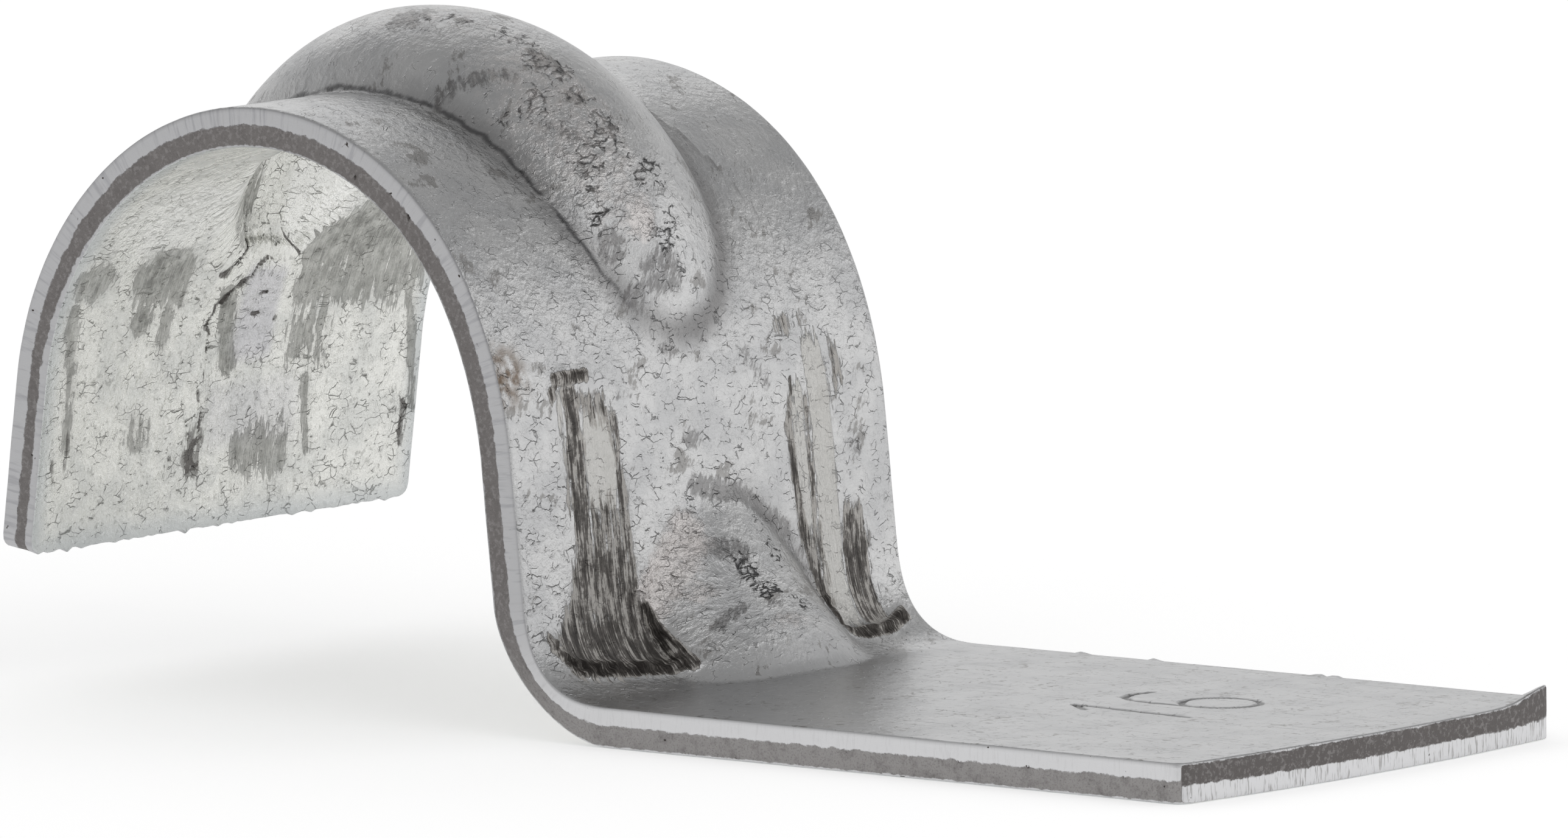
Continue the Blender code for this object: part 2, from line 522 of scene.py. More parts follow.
# %% [markdown]
# The gusset's ridge is a straight line from the leg down to the foot, so its depth is simply how
# far that line stands off the curved face at each place. Its nose is tapered, tight at the top and
# broad at the foot, which gives the pointed arch that is seen from the front.

# %% Press the gusset
GUSSET_UP = 0.0024
GUSSET_NOSE_AT_LEG = 0.0030
GUSSET_NOSE_AT_FOOT = 0.0080
GUSSET_OFFSET = 0.0007
GUSSET_DIVE = 0.4
GUSSET_START = ENDS["foot"]
GUSSET_END = ENDS["bend"] + GUSSET_UP
GUSSET_LOW = place_along(GUSSET_START).point
GUSSET_RIDGE = (place_along(GUSSET_END).point - GUSSET_LOW).normalized()
GUSSET_OUT = Vector((GUSSET_RIDGE.z, 0.0, -GUSSET_RIDGE.x))


def gusset_depth(along, place):
    beyond = max(GUSSET_START - along, along - GUSSET_END)
    if beyond > 0:
        return -GUSSET_DIVE * beyond
    return (GUSSET_LOW - place.point).dot(GUSSET_OUT) / place.normal.dot(GUSSET_OUT)


def gusset_nose(along, across, place):
    climbed = (along - GUSSET_START) / (GUSSET_END - GUSSET_START)
    climbed = min(max(climbed, 0.0), 1.0)
    radius = GUSSET_NOSE_AT_FOOT + climbed * (GUSSET_NOSE_AT_LEG - GUSSET_NOSE_AT_FOOT)
    return round_nose(gusset_depth(along, place), radius, across - GUSSET_OFFSET)


print("gusset climbs", round(GUSSET_UP / MM, 2), "mm up the leg")

# %% [markdown]
# ## Forming the strip
#
# Now the press closes: every vertex of the flat blank goes to its place on the bent line, plus
# what the two punches lift it. Before it moves, each vertex writes down where it was on the strip,
# in millimetres: the distance from the free end along the outside, the distance across, and its
# depth in the sheet. The finishes read that note later, so a scrape or a stain stays where it is
# on the metal, whatever the shape. A second note gives the distance from the foot of the bead and
# of the gusset, which the painted shade in the creases follows.

# %% Form the strip
SHARE_GROUP = "sheet_share"
PROBE = 0.0001
LEAST_SLOPE = 0.2
CREASE_FAR_MM = 3.0
GUSSET_NEAR = -0.002


def outside_distances():
    """For steps along the middle line, the distance from the free end along the outside face."""
    steps = ceil(STRIP_LENGTH / GRID_STEP)
    points = [place_along(STRIP_LENGTH * i / steps).point for i in range(steps + 1)]
    reach = [0.0] * (steps + 1)
    for i in range(steps - 1, -1, -1):
        reach[i] = reach[i + 1] + (points[i] - points[i + 1]).length
    return reach


REACH = outside_distances()


def reach_at(along):
    position = min(max(along / STRIP_LENGTH, 0.0), 1.0) * (len(REACH) - 1)
    below = min(int(position), len(REACH) - 2)
    return REACH[below] + (REACH[below + 1] - REACH[below]) * (position - below)


def crease_distance(nose, along, across, *rest):
    """Roughly how far a place is from the line where a punch shape begins, in millimetres."""
    here = nose(along, across, *rest)
    slope = abs(nose(along, across + PROBE, *rest) - here) / PROBE
    climb = abs(nose(along + PROBE, across, *rest) - here) / PROBE
    away = -here / max(hypot(slope, climb), LEAST_SLOPE) / MM
    return min(max(away, -CREASE_FAR_MM), CREASE_FAR_MM)


def form_strip(form):
    strip = form.verts.layers.float_vector.new("strip")
    crease = form.verts.layers.float_vector.new("crease")
    share = form.verts.layers.deform.verify()
    places = {}
    for vert in form.verts:
        along, across = vert.co.x, vert.co.y
        key = round(along, 7)
        if key not in places:
            places[key] = place_along(along)
        place = places[key]
        gusset = gusset_nose(along, across, place)
        lift = soften(bead_nose(along, across)) + soften(gusset)
        vert[crease] = Vector((crease_distance(bead_nose, along, across), CREASE_FAR_MM, 0.0))
        if gusset > GUSSET_NEAR:
            vert[crease].y = crease_distance(gusset_nose, along, across, place)
        vert[strip] = Vector((reach_at(along), across, 0.0)) / MM
        vert[share][0] = place.share
        vert.co = place.point + place.normal * lift
        vert.co.y = across
    bmesh.ops.reverse_faces(form, faces=form.faces)
    return as_mesh("formed_strip", form)


formed = form_strip(form)
print("formed strip has", len(formed.vertices), "vertices on its outside face")
print("length along the outside, mm:", round(REACH[0] / MM, 2))

# %% [markdown]
# ## The sheet's thickness
#
# The Solidify modifier grows the thickness inwards from the outside face. It keeps the wall even
# through the bead and the gusset, and a vertex group thins it in the bend. It also hands the pipe
# side and the sheared edges materials of their own, which is just what a galvanised strip needs:
# the zinc is on the two faces, and the shear leaves bare, torn steel between them.

# %% Give it thickness
FINISHES = ("zinc_outside", "zinc_pipe_side", "sheared_edge")
OUTSIDE, PIPE_SIDE, SHEARED = range(3)


def thicken(mesh):
    clip = add("galvanised_clip", mesh)
    clip.vertex_groups.new(name=SHARE_GROUP)
    for name in FINISHES:
        material = bpy.data.materials.new(name)
        material.use_nodes = True
        mesh.materials.append(material)
    wall = clip.modifiers.new("sheet", "SOLIDIFY")
    wall.thickness = SHEET
    wall.offset = -1.0
    wall.use_even_offset = True
    wall.use_quality_normals = True
    wall.vertex_group = SHARE_GROUP
    wall.material_offset = PIPE_SIDE
    wall.material_offset_rim = SHEARED
    walled = clip.evaluated_get(bpy.context.evaluated_depsgraph_get())
    solid = bpy.data.meshes.new_from_object(walled)
    clip.modifiers.clear()
    clip.vertex_groups.clear()
    clip.data = solid
    return clip


OUTSIDE_COUNT = len(formed.vertices)
clip = thicken(formed)
print("materials on faces:", sorted({face.material_index for face in clip.data.polygons}))

# %% [markdown]
# The rim is one face wide after that. It is rounded a little where it meets the two skins and cut
# into rows across the thickness, so that the shear's torn steel can have real roughness.

# %% Work the sheared edges
SHEET_MM = SHEET / MM
RIM_CUTS = 6
EDGE_ROUND = 0.00009


def work_rim(clip):
    form = bmesh.new()
    form.from_mesh(clip.data)
    strip = form.verts.layers.float_vector["strip"]
    for index, vert in enumerate(form.verts):
        if index >= OUTSIDE_COUNT:
            vert[strip] = vert[strip] + Vector((0.0, 0.0, SHEET_MM))
    crossing = []
    rim_edges = []
    for edge in form.edges:
        kinds = {face.material_index for face in edge.link_faces}
        if kinds == {SHEARED}:
            crossing.append(edge)
        elif SHEARED in kinds:
            rim_edges.append(edge)
    bmesh.ops.subdivide_edges(form, edges=crossing, cuts=RIM_CUTS)
    bmesh.ops.bevel(
        form,
        geom=rim_edges,
        offset=EDGE_ROUND,
        offset_type="OFFSET",
        segments=2,
        profile=0.5,
        affect="EDGES",
        material=-1,
    )
    form.to_mesh(clip.data)
    form.free()
    clip.data.shade_smooth()


work_rim(clip)
print("clip has", len(clip.data.polygons), "faces")

# %% [markdown]
# ## Where the strip is worn
#
# The wear has a story. A forming tool dragged down the leg in two places, beside the gusset, and
# rolled up a wedge of torn zinc where it stopped. The bead stretched the zinc until it crazed. The
# pipe side was rubbed by the punch. Each mark is a soft shape in the strip's own millimetres, with
# a distance from the free end first and a distance across second, so it is easy to move.

# %% Shapes for marks
def smooth_step(low, high, value):
    share = min(max((value - low) / (high - low), 0.0), 1.0)
    return share * share * (3 - 2 * share)


def fade(low, high, value):
    return 1 - smooth_step(low, high, value)


def band(value, low, high, soft):
    """One inside low to high and none outside, with soft ends."""
    return smooth_step(low - soft, low + soft, value) * fade(high - soft, high + soft, value)


def patch(s, y, low_s, high_s, low_y, high_y, soft=0.25, ends=None):
    """A rectangle of the strip. Its ends may be softer than its sides."""
    return band(s, low_s, high_s, ends or soft) * band(y, low_y, high_y, soft)


def oval(s, y, mid_s, mid_y, half_s, half_y):
    """One at the middle, falling softly to none at the oval's border."""
    return fade(0.35, 1.0, hypot((s - mid_s) / half_s, (y - mid_y) / half_y))


def off_line(s, y, start, end):
    """How far a place is from a straight line between two others."""
    run_s, run_y = end[0] - start[0], end[1] - start[1]
    share = ((s - start[0]) * run_s + (y - start[1]) * run_y) / (run_s**2 + run_y**2)
    share = min(max(share, 0.0), 1.0)
    return hypot(s - start[0] - share * run_s, y - start[1] - share * run_y)


def line(s, y, start, end, width):
    """A thin mark from one place to another, fading over its width."""
    return fade(width * 0.3, width, off_line(s, y, start, end))


def strongest(s, y, marks):
    """The strongest of some marks at a place. Each is its strength, its shape and its numbers."""
    return max(strength * shape(s, y, *numbers) for strength, shape, *numbers in marks)


def wavy(s, y, along, across, seed):
    """Smooth noise from -1 to 1 with cells of the given length along and across the strip."""
    return noise.noise(Vector((s / along, y / across, seed)))


def grain(*place_and_cells):
    """The same noise, from 0 to 1."""
    return 0.5 + 0.5 * wavy(*place_and_cells)


print("a patch's middle and edge:", patch(5, 0, 3, 7, -1, 1), patch(3, 0, 3, 7, -1, 1))

# %% [markdown]
# The two scrapes run down the leg. Each has a torn, dark part and a bright part where the zinc was
# only smeared. They widen on the way down, as the tool bit deeper, and each ends in a dark wedge
# on the bend, where the zinc was rolled up into a crumpled lump.

# %% Map the scrapes
TORN_OUTSIDE = [
    (0.85, patch, 32.1, 38.0, -5.9, -5.15, 0.16, 0.3),
    (0.50, patch, 33.6, 36.0, -6.15, -5.8, 0.12, 0.5),
    (0.60, patch, 32.5, 33.6, -5.0, -3.9, 0.25, 0.4),
    (0.72, line, (33.3, -3.75), (38.2, -3.5), 0.28),
    (0.60, patch, 35.4, 37.6, -5.2, -3.7, 0.25, 0.7),
    (0.50, patch, 31.0, 31.7, 4.0, 5.3, 0.25, 0.3),
    (0.58, patch, 31.9, 33.5, 6.15, 6.7, 0.16, 0.5),
    (0.60, patch, 33.2, 38.6, 4.72, 5.05, 0.14, 0.6),
    (0.72, line, (33.0, 4.35), (34.2, 4.0), 0.2),
    (0.80, line, (34.2, 4.0), (37.2, 4.25), 0.26),
    (0.88, line, (37.2, 4.25), (39.6, 4.95), 0.34),
    (0.55, patch, 37.0, 39.4, 4.5, 5.3, 0.2, 0.7),
    (0.80, patch, 36.9, 40.6, 6.0, 7.15, 0.22, 0.5),
]
LUMPS_OUTSIDE = [
    (1.00, line, (38.9, -3.15), (41.3, -2.9), 0.32),
    (0.95, patch, 31.7, 32.12, -6.25, -4.55, 0.14),
    (0.90, patch, 32.1, 32.7, -6.5, -6.2, 0.14),
    (1.00, line, (39.5, 4.85), (40.7, 4.95), 0.2),
    (1.00, line, (40.7, 4.95), (41.0, 5.6), 0.24),
]
SMEARED_OUTSIDE = [
    (1.00, patch, 32.9, 36.0, -5.15, -3.85, 0.16, 0.5),
    (0.62, patch, 32.3, 34.6, -6.2, -5.85, 0.14, 0.5),
    (0.50, patch, 35.8, 39.8, -5.3, -4.2, 0.4, 0.8),
    (0.85, line, (39.6, -3.6), (40.7, -3.3), 0.22),
    (1.00, patch, 31.8, 40.5, 5.05, 5.95, 0.16, 0.6),
    (0.75, patch, 33.0, 37.6, 4.2, 4.8, 0.16, 0.5),
]


def torn_outside(s, y):
    """Torn, dark zinc. The near scrape fans out towards the foot."""
    fan = smooth_step(36.0, 40.5, s)
    fanned = [
        (0.78, patch, 36.6, 39.6, -5.9 - fan, -3.7 + 0.6 * fan, 0.25, 0.8),
        (0.92, patch, 38.6, 40.9, -6.1 - 1.2 * fan, -3.1, 0.35, 0.8),
    ]
    return strongest(s, y, TORN_OUTSIDE + fanned)


def lump_outside(s, y):
    """Lumps where the tool first bit, and the two wedges where it stopped, each with a slant."""
    near = 41.05 + 0.15 * (y + 4.8) - 0.9 * fade(-7.9, -6.7, y)
    far = 41.1 - 0.5 * smooth_step(6.4, 8.1, y)
    wedges = [
        (1.0, patch, near - 0.7, near, -7.75, -2.85, 0.12, 0.15),
        (1.0, patch, far - 0.55, far, 5.3, 7.95, 0.12, 0.14),
    ]
    return strongest(s, y, LUMPS_OUTSIDE + wedges)


print("lump at the near scrape's foot:", round(lump_outside(40.6, -5.0), 2))

# %% [markdown]
# The rest of the outside is quieter: painted highlights on facets of the bead and the gusset,
# places where the stretched zinc has cracked open, and dull clusters on the bead, the leg and the
# gusset, which along the gusset's far flank are painted shade.

# %% Map the rest of the outside
# Painted highlights: bright patches laid into the colour on facets of the gusset and the bead.
PAINTED_HIGHLIGHTS_OUTSIDE = [
    (0.85, line, (36.9, -1.2), (38.9, -3.2), 1.1),
    (0.60, oval, 38.8, -1.6, 0.8, 0.9),
    (0.50, oval, 41.2, 0.9, 0.7, 1.4),
    (0.80, oval, 27.9, -1.0, 1.0, 0.9),
    (0.48, oval, 24.8, -1.6, 5.4, 2.6),
    (0.35, oval, 18.5, 0.0, 5.0, 3.6),
]
CRAZED_OUTSIDE = [
    (0.6, oval, 19.8, -1.3, 1.2, 1.0),
    (1.0, oval, 21.6, -0.6, 1.0, 1.0),
    (0.9, oval, 22.7, -1.1, 0.6, 0.6),
    (1.0, oval, 23.4, -0.8, 0.6, 0.9),
    (1.0, oval, 25.7, -0.8, 1.0, 0.8),
    (1.0, oval, 26.85, 0.0, 0.7, 1.2),
    (0.7, oval, 24.8, -1.6, 3.0, 1.6),
    (0.9, oval, 27.2, -2.2, 0.9, 0.8),
    (0.8, oval, 28.3, -0.2, 1.0, 1.1),
    (0.7, oval, 23.4, -2.6, 1.6, 0.9),
    (1.0, oval, 38.1, 0.2, 0.9, 0.7),
    (0.9, oval, 39.2, 0.6, 0.8, 1.0),
    (0.9, oval, 37.6, 1.8, 1.0, 0.8),
    (0.8, oval, 40.3, 1.8, 0.7, 1.1),
    (0.8, oval, 40.9, -0.6, 0.6, 1.1),
]
DARK_OUTSIDE = [
    (0.80, oval, 18.9, -1.3, 0.9, 1.4),
    (0.70, line, (21.6, -3.4), (22.8, -2.0), 0.5),
    (0.70, line, (24.6, -2.4), (25.5, -1.6), 0.4),
    (0.75, oval, 29.4, -0.6, 1.2, 1.5),
    (0.80, oval, 28.4, -2.2, 0.9, 0.7),
    (0.70, oval, 29.9, -1.8, 0.8, 0.8),
    (0.70, oval, 34.2, -0.4, 0.6, 0.8),
    (0.62, line, (31.9, 2.4), (33.0, 3.2), 0.45),
    (0.62, oval, 31.6, -0.9, 0.5, 0.9),
    (0.62, oval, 32.7, -3.2, 0.3, 0.7),
    (0.62, oval, 35.2, 6.9, 0.7, 0.5),
    # painted shade along the gusset's far flank
    (0.90, line, (35.6, -0.4), (36.0, 1.5), 0.6),
    (0.80, line, (36.0, 1.5), (37.3, 3.4), 0.6),
    (0.55, line, (37.3, 3.4), (38.6, 4.4), 0.6),
    (0.82, line, (37.3, -1.1), (37.6, 0.4), 0.55),
    (0.78, line, (40.5, -1.7), (40.0, -0.6), 0.5),
    (0.70, oval, 40.2, 0.7, 0.5, 0.6),
]
print("dark where the gusset starts:", round(strongest(35.8, 0.5, DARK_OUTSIDE), 2))

# %% [markdown]
# The pipe side was polished by the punch and then rubbed. Grey smears hang down from the shoulder
# like brush strokes, and where the bead's hollow ends bluntly the zinc has torn. A painted shadow
# lies on the wall below the hollow's end, and two bright facets are painted highlights.

# %% Map the pipe side
TORN_INSIDE = [
    (0.90, line, (8.6, -0.75), (8.15, -1.4), 0.13),
    (0.90, line, (9.3, -0.5), (8.6, -0.75), 0.12),
    (0.85, line, (8.4, 0.55), (7.7, -0.5), 0.13),
    (0.75, line, (7.7, -0.5), (7.0, -1.35), 0.13),
    (0.75, line, (9.1, 1.3), (8.6, 1.8), 0.11),
    (0.85, oval, 7.25, 0.75, 0.16, 0.35),
    (0.85, line, (6.6, 0.3), (6.6, 0.75), 0.16),
    (0.75, oval, 6.4, 1.35, 0.14, 0.3),
    (0.60, line, (7.0, -1.45), (2.6, -1.4), 0.14),
    (0.80, oval, 2.0, -1.6, 0.6, 0.6),
    (0.60, patch, 1.7, 3.3, -1.95, -1.2, 0.2, 0.7),
    (0.62, patch, 1.9, 3.1, -2.75, -2.5, 0.12, 0.5),
    (0.85, oval, 2.4, 7.9, 1.2, 0.4),
    (0.60, patch, 1.9, 3.0, -7.95, -7.65, 0.14, 0.4),
    (0.60, patch, 2.5, 3.7, -7.35, -7.1, 0.12, 0.5),
]
DARK_INSIDE = [
    (0.95, oval, 8.7, -4.2, 1.4, 1.9),
    (0.62, patch, 7.2, 8.8, -5.3, -2.9, 0.4, 0.6),
    (0.90, oval, 6.9, -4.6, 0.8, 0.7),
    (0.75, patch, 5.7, 7.4, -3.75, -3.2, 0.2, 0.5),
    (0.85, oval, 8.7, -7.3, 1.1, 1.2),
    (0.75, line, (7.6, -7.8), (5.6, -7.45), 0.4),
    (0.66, line, (5.6, -7.45), (3.0, -7.3), 0.3),
    (0.50, oval, 3.2, -4.2, 0.9, 0.8),
    # painted shadow down the left wall of the column below the hollow's end
    (0.92, line, (7.5, -0.9), (4.9, -0.4), 0.5),
    (0.66, patch, 9.4, 13.5, -1.3, -0.4, 0.35, 0.8),
    (0.62, patch, 1.3, 3.0, 0.0, 2.7, 0.4, 0.7),
    (0.66, line, (4.2, 3.2), (1.9, 3.5), 0.3),
    (0.62, patch, 6.3, 9.0, 2.1, 8.0, 0.4, 0.8),
    (0.52, patch, 4.6, 6.8, 2.2, 4.2, 0.4, 0.8),
    (0.60, line, (6.2, 7.8), (2.8, 8.2), 0.35),
]
SMEARED_INSIDE = [
    (1.00, patch, 5.0, 8.2, -0.3, 1.5, 0.25),
    (0.55, patch, 2.4, 4.3, -1.2, 2.9, 0.4),
]
HOLLOW_TIP_S = 8.8


def torn_inside(s, y):
    """Cracks that wander by noise, since torn zinc never runs straight."""
    moved_s = s + 0.25 * wavy(s, y, 0.5, 0.5, 61.0)
    moved_y = y + 0.35 * wavy(s, y, 0.6, 0.6, 63.0)
    return strongest(moved_s, moved_y, TORN_INSIDE)


def dark_inside(s, y):
    """Grey smears, thin where they end, and one line of painted shadow. The broad far one has a
    slanted top and side.
    """
    top = 10.2 + 0.35 * (y - 3.0)
    side = 2.0 + 0.85 * max(0.0, s - HOLLOW_TIP_S)
    return strongest(s, y, DARK_INSIDE + [(0.88, patch, 8.0, top, side, 8.4, 0.3, 0.7)])


def painted_highlights_inside(s, y):
    """Painted highlights: a bright wedge beside the hollow's end, and the near side under the
    crown.
    """
    side = 1.95 + 0.85 * (s - HOLLOW_TIP_S)
    facets = [
        (1.00, patch, HOLLOW_TIP_S, 12.6, 1.25, side, 0.18, 0.3),
        (0.75, oval, 11.2, -4.8, 2.6, 3.6),
    ]
    return strongest(s, y, facets)


def hollow_ledge(s, y):
    """The bead's hollow ends bluntly on the free side, with a ledge round its tip."""
    past_tip = s - HOLLOW_TIP_S
    level = band(y, -0.7 - 0.62 * past_tip, 1.7 + 0.85 * past_tip, 0.14)
    return smooth_step(8.75, 9.0, s) * level * fade(11.5, 15.0, s)


print("dark under the far shoulder:", round(dark_inside(8.0, 5.0), 2))

# %% [markdown]
# ## The stamped size
#
# A plain 16 is struck into the foot, the pipe size in millimetres. It is drawn with the strokes a
# steel letter punch has, and each vertex of the foot is pushed down by its distance from the
# nearest stroke. The rest of the foot is left bare.

# %% Draw the figures
FIGURE_DEPTH_MM = 0.08
FIGURE_STROKE_MM = 0.16
FOOT_FIRST_S = REACH[0] / MM - FOOT_FLAT / MM
ONE = [(0.85, -1.05), (-0.1, -0.35), (4.35, -0.65)]
SIX_LOOP = [(3.2 + 1.2 * cos(a * pi / 12), 2.25 + 1.05 * sin(a * pi / 12)) for a in range(25)]
SIX_STEM = [(2.9, 1.2), (1.6, 1.15), (0.7, 1.25), (0.15, 1.6), (-0.05, 2.2), (0.1, 2.95)]
STROKES = [ends for stroke in (ONE, SIX_LOOP, SIX_STEM) for ends in zip(stroke, stroke[1:])]


def in_figure(x, y):
    """One in the middle of a stroke and none beside it, at a place on the foot in millimetres."""
    return fade(0.05, FIGURE_STROKE_MM, min(off_line(x, y, *ends) for ends in STROKES))


print("in the one's stem and beside it:", round(in_figure(2.0, -0.49), 2), in_figure(2.0, 0.4))

# %% [markdown]
# ## Wear in the metal
#
# Now the marks become shape. The skin is never quite flat, the scrapes are dragged into grooves
# with a rolled lip at the bottom, torn places open up, the stamp sinks in, and the torn half of a
# sheared edge is rougher than the zinc half. Each face gives its marks and its height at a place.

# %% Marks and heights
def wear_outside(s, y, x):
    marks = {
        "torn": torn_outside(s, y),
        "smeared": strongest(s, y, SMEARED_OUTSIDE),
        "crazed": strongest(s, y, CRAZED_OUTSIDE),
        "dark": strongest(s, y, DARK_OUTSIDE),
        "figure": in_figure(x, y) if s > FOOT_FIRST_S else 0.0,
        "lump": lump_outside(s, y),
        "painted_highlight": strongest(s, y, PAINTED_HIGHLIGHTS_OUTSIDE),
    }
    drag = grain(s, y, 2.4, 0.16, 5.0)
    height = -0.010 + 0.010 * wavy(s, y, 2.6, 2.6, 3.1) + 0.004 * wavy(s, y, 0.7, 0.7, 7.7)
    height -= marks["torn"] * (0.03 + 0.07 * drag)
    height -= marks["smeared"] * (0.02 + 0.02 * drag)
    height += marks["lump"] * (0.10 + 0.16 * wavy(s, y, 0.3, 0.4, 51.0))
    height -= marks["crazed"] * 0.02 * grain(s, y, 0.22, 0.6, 9.0)
    return marks, height - marks["figure"] * FIGURE_DEPTH_MM


def wear_inside(s, y):
    marks = {
        "torn": torn_inside(s, y),
        "smeared": strongest(s, y, SMEARED_INSIDE),
        "dark": dark_inside(s, y),
        "painted_highlight": painted_highlights_inside(s, y),
    }
    height = -0.012 + 0.012 * wavy(s, y, 2.2, 2.2, 13.1) + 0.006 * wavy(s, y, 0.6, 0.6, 17.7)
    height += 0.05 * marks["smeared"] - 0.07 * marks["torn"] - 0.22 * hollow_ledge(s, y)
    return marks, height - marks["dark"] * 0.03 * grain(s, y, 1.6, 0.2, 21.0)


def edge_height(s, y, depth):
    """A sheared edge: the zinc half stands a little proud of the rough steel half."""
    steel = smooth_step(0.52, 0.66, depth + 0.05 * wavy(s, y, 0.5, 0.5, 31.0))
    rough = wavy(s, y, 0.3, 0.3, depth / 0.2)
    return 0.005 * wavy(s, y, 1.0, 1.0, depth / 0.6) - 0.008 - steel * (0.012 + 0.008 * rough)


print("height inside the near scrape, mm:", round(wear_outside(35.0, -5.5, 0.0)[1], 3))

# %% [markdown]
# One pass then moves every vertex along its own normal by that height. The same pass paints the
# marks into three colour attributes, so the finishes know exactly where each one is.

# %% Wear the surface
# The glint marks are painted highlights, and the edge mark carries a painted shade on the pipe
# side.
PAINTED = {
    "wear": ("torn", "smeared", "crazed"),
    "tone": ("dark", "edge", "end"),
    "struck_and_highlight": ("figure", "lump", "painted_highlight"),
}
SKIN_MM = 0.05
HALF_WIDTH_MM = STRIP_WIDTH / MM / 2


def wear_at(s, y, depth, x):
    if depth < SKIN_MM:
        return wear_outside(s, y, x)
    if depth > SHEET_MM - SKIN_MM:
        return wear_inside(s, y)
    return {}, edge_height(s, y, depth)


def wear_surface(clip):
    mesh = clip.data
    for name in PAINTED:
        mesh.attributes.new(name, "FLOAT_COLOR", "POINT")
    strip = mesh.attributes["strip"].data
    layers = {name: mesh.attributes[name].data for name in PAINTED}
    moves = []
    for vert, noted in zip(mesh.vertices, strip):
        s, y, depth = noted.vector
        marks, height = wear_at(s, y, depth, vert.co.x / MM)
        from_edge = min(HALF_WIDTH_MM - abs(y), s, REACH[0] / MM - s)
        # how near the strip's edge a place is: the pipe side lays a painted shade there
        marks["edge"] = fade(0.1, 0.9, from_edge)
        marks["end"] = smooth_step(0.6, 0.8, vert.normal.x) if vert.co.x > 0 else 0.0
        for name, kinds in PAINTED.items():
            colour = [marks.get(kind, 0.0) for kind in kinds]
            layers[name][vert.index].color = (*colour, 1.0)
        moves.append(vert.normal * height * MM)
    for vert, move in zip(mesh.vertices, moves):
        vert.co += move
        vert.co.z = max(vert.co.z, 0.0)
    mesh.update()


wear_surface(clip)
print("worn", len(clip.data.vertices), "vertices")

# %% [markdown]
# The shear left burrs: a dark lip turned up at the foot's far corner, small beads of zinc along
# the foot's far edge, and a ragged fringe at the free end. They are pulled out of the finished
# edge with a few soft moves.

# %% Raise the burrs
LIP_REACH_MM = 0.9
LIP_RISE_MM = 0.40
LIP_FROM_Y_MM, LIP_TO_Y_MM = 5.0, 8.4
NODULES_X_MM = (-6.9, -4.2, 1.9, 2.5)
NODULE_RADIUS_MM = 0.28
NODULE_RISE_MM = 0.08
FRINGE_DEPTH_MM = 0.7
FRINGE_DROP_MM = 0.16


def raise_burrs(clip):
    strip = clip.data.attributes["strip"].data
    for vert, noted in zip(clip.data.vertices, strip):
        s, y, depth = noted.vector
        x = vert.co.x / MM
        on_foot = s > FOOT_FIRST_S
        from_end = (FOOT_FLAT / 2 - FOOT_END_BOW * (y / HALF_WIDTH_MM) ** 2) / MM - x
        if on_foot and from_end < LIP_REACH_MM and y > LIP_FROM_Y_MM:
            lip = fade(0.0, LIP_REACH_MM, from_end)
            lip *= smooth_step(LIP_FROM_Y_MM, LIP_TO_Y_MM, y) ** 2
            vert.co.z += LIP_RISE_MM * MM * lip * fade(0.0, 0.9, depth)
        if on_foot and depth < 0.3 and y > HALF_WIDTH_MM - 0.45:
            for nodule in NODULES_X_MM:
                reach = hypot(x - nodule, (HALF_WIDTH_MM - y) * 0.8)
                vert.co.z += NODULE_RISE_MM * MM * fade(0.0, NODULE_RADIUS_MM, reach)
        if s < 0.12 and depth > FRINGE_DEPTH_MM:
            fringe = max(0.0, wavy(y, 0.0, 0.35, 1.0, 41.0))
            fringe += 0.6 * max(0.0, wavy(y, 0.0, 0.14, 1.0, 43.0))
            fringe *= smooth_step(FRINGE_DEPTH_MM, 1.1, depth)
            vert.co.z -= FRINGE_DROP_MM * MM * fringe
    clip.data.update()


raise_burrs(clip)
corner = max(vert.co.z for vert in clip.data.vertices if vert.co.x > FOOT_FLAT / 2 - MM)
print("the foot's highest corner, mm:", round(corner / MM, 2))

# %% [markdown]
# ## Effects that the finishes share
#
# Galvanised sheet that has been bent looks crackled: the zinc is brittle, and breaks into a net of
# fine folds about a third of a millimetre apart. A warped Voronoi net makes the folds, and a mask
# of noise breaks the net up, because real folds stop and start.

# %% Crackle
def warped(place, scale, push):
    """The place, pushed about by noise, so that a net on it has no straight lines."""
    wander = noise_at(place, scale, 3.0, output="Color")
    moved = {0: wander, 1: push, 2: place}
    return out(place.tree, "VectorMath", "Vector", moved, operation="MULTIPLY_ADD")


def cell_border(cells):
    """How far a place is from the nearest border between cells."""
    inputs = {"Vector": cells, "Scale": 1.0}
    return out(cells.tree, "TexVoronoi", "Distance", inputs, feature="DISTANCE_TO_EDGE")


def cell_shade(cells, scale):
    """A shade of its own for each cell."""
    return out(cells.tree, "TexVoronoi", "Color", {"Vector": cells, "Scale": scale})


def crackle_group():
    given, results = new_group(
        "crackle", {"Vector": "Vector"}, {"Lines": "Float", "Height": "Float"}
    )
    place = given["Vector"]
    pushed = warped(place, 1.4, (0.5, 0.9, 0.0))
    cells = stretched(pushed, 0.26, 0.52)
    broken = noise_at(place, 2.1, 4.0, 0.6)
    lines = step_down(cell_border(cells), 0.0, 0.042) * step_up(broken, 0.52, 0.58)
    large = stretched(pushed, 0.8, 1.15)
    ridges = noise_at(large, 1.0, 3.0, 0.6, noise_type="RIDGED_MULTIFRACTAL")
    height = cell_shade(cells, 1.0) * 0.3 + cell_shade(cells, 2.6) * 0.16 + ridges * 0.34
    height *= step_up(broken, 0.4, 0.62) * 0.8 + 0.2
    height += noise_at(place, 4.6, 4.0, 0.6) * 0.55 - lines * 0.6
    fill(results, {"Lines": lines, "Height": height})
    return results.id_data


